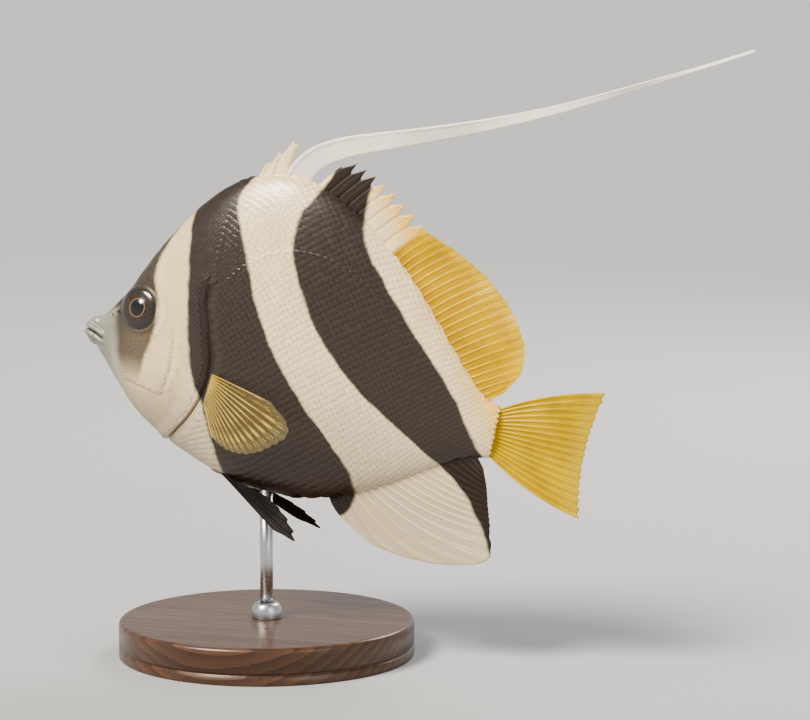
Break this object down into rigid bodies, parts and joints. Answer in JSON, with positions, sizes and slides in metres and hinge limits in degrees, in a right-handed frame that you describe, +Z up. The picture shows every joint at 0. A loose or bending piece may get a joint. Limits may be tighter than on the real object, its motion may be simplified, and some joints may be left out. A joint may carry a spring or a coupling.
{
  "type": "schooling bannerfish",
  "caption": "Life-size bannerfish, black and white bands, yellow fins and a long trailing dorsal banner, held on a rod over a round wooden base.",
  "frame": {"origin": "centre of the underside of the stand's round base, on the floor", "axes": "+Z up, the fish's head towards -X and its tail towards +X, its left flank towards -Y, its mid-plane on Y = 0; the snout points 12 degrees above level"},
  "size_m": [0.2068, 0.09, 0.183],
  "materials": {
    "skin": "scaled skin, pearly white with two dark brown-black bands, moist sheen",
    "white_fin": "white fin membrane over fine rays",
    "black_fin": "dark brown-black fin membrane over spines and rays",
    "yellow_fin": "golden yellow fin membrane over fine rays",
    "eye": "wet, glossy, dark iris round a black pupil",
    "wood": "dark turned hardwood, satin lacquer",
    "steel": "satin steel"
  },
  "bodies": {
    "root": {"head": "skin", "torso": "skin", "tail_stalk": "skin", "eye_left": "eye", "eye_right": "eye", "dorsal_fin_front_spines": "white_fin", "dorsal_fin_banner": "white_fin", "dorsal_fin_hind_spines": "black_fin", "dorsal_fin_soft": "yellow_fin", "anal_fin": "white_fin", "tail_fin": "yellow_fin", "pectoral_fin_left": "yellow_fin", "pectoral_fin_right": "yellow_fin", "pelvic_fin_left": "black_fin", "pelvic_fin_right": "black_fin", "stand_base": "wood", "stand_rod": "steel", "stand_collar": "steel"}
  },
  "joints": []
}
